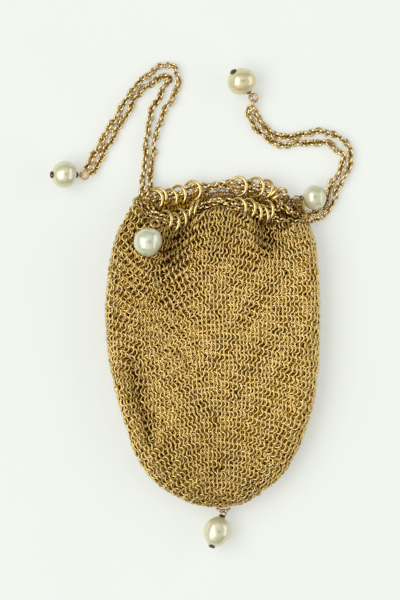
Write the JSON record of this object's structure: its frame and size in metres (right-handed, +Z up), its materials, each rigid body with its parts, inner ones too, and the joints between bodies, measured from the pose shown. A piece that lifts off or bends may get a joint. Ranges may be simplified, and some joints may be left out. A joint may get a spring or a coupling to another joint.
{
  "type": "metal mesh purse",
  "caption": "Flat U-shaped drawstring purse of fine gold mail, with large rings round its gathered mouth, double pull chains and pearl drops.",
  "frame": {"origin": "on the flat underside of the pouch, near the middle of its length and width", "axes": "+Z up from the table, +Y from the round bottom to the mouth, +X to the right as the purse lies"},
  "size_m": [0.0791, 0.1259, 0.016],
  "materials": {
    "mail_gold": "satin, darker between the rings",
    "ring_gold": "polished and worn",
    "chain_gold": "polished and worn",
    "pearl": "lustrous",
    "pin_metal": "tarnished"
  },
  "bodies": {
    "root": {"mail_pouch": "mail_gold", "mouth_ring_back_left_1": "ring_gold", "mouth_ring_back_left_2": "ring_gold", "mouth_ring_back_left_3": "ring_gold", "mouth_ring_back_left_4": "ring_gold", "mouth_ring_back_left_5": "ring_gold", "mouth_ring_back_right_1": "ring_gold", "mouth_ring_back_right_2": "ring_gold", "mouth_ring_back_right_3": "ring_gold", "mouth_ring_back_right_4": "ring_gold", "mouth_ring_back_right_5": "ring_gold", "mouth_ring_front_left_1": "ring_gold", "mouth_ring_front_left_2": "ring_gold", "mouth_ring_front_left_3": "ring_gold", "mouth_ring_front_left_4": "ring_gold", "mouth_ring_front_left_5": "ring_gold", "mouth_ring_front_right_1": "ring_gold", "mouth_ring_front_right_2": "ring_gold", "mouth_ring_front_right_3": "ring_gold", "mouth_ring_front_right_4": "ring_gold", "mouth_ring_front_right_5": "ring_gold", "jump_ring_left_pull": "ring_gold", "jump_ring_right_pull_1": "ring_gold", "jump_ring_right_pull_2": "ring_gold", "jump_ring_left_mouth": "ring_gold", "jump_ring_right_mouth": "ring_gold", "jump_ring_bottom_1": "ring_gold", "jump_ring_bottom_2": "ring_gold", "drawstring_chain_left": "chain_gold", "drawstring_chain_right": "chain_gold", "pearl_left_pull": "pearl", "pearl_right_pull": "pearl", "pearl_left_mouth": "pearl", "pearl_right_mouth": "pearl", "pearl_bottom": "pearl", "pin_left_pull": "pin_metal", "pin_right_pull": "pin_metal", "pin_left_mouth": "pin_metal", "pin_right_mouth": "pin_metal", "pin_bottom": "pin_metal"}
  },
  "joints": []
}
